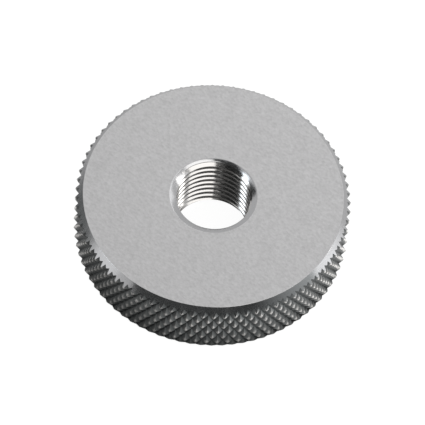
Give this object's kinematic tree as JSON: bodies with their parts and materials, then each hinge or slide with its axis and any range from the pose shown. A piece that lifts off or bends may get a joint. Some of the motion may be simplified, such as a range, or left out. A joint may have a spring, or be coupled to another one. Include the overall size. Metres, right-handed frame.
{
  "type": "thread ring gauge",
  "caption": "Thread ring gauge: a flat steel ring with a diamond-knurled rim, chamfered edges and a fine threaded bore countersunk at both ends",
  "frame": {"origin": "centre of the lower face, on the thread's axis", "axes": "+Z along the thread's axis, up out of the upper face; -Y is the front"},
  "size_m": [0.032, 0.032, 0.0082],
  "materials": {
    "steel": "lapped flat faces with a fine satin grain, darker knurl"
  },
  "bodies": {
    "root": {"ring_gauge": "steel"}
  },
  "joints": []
}
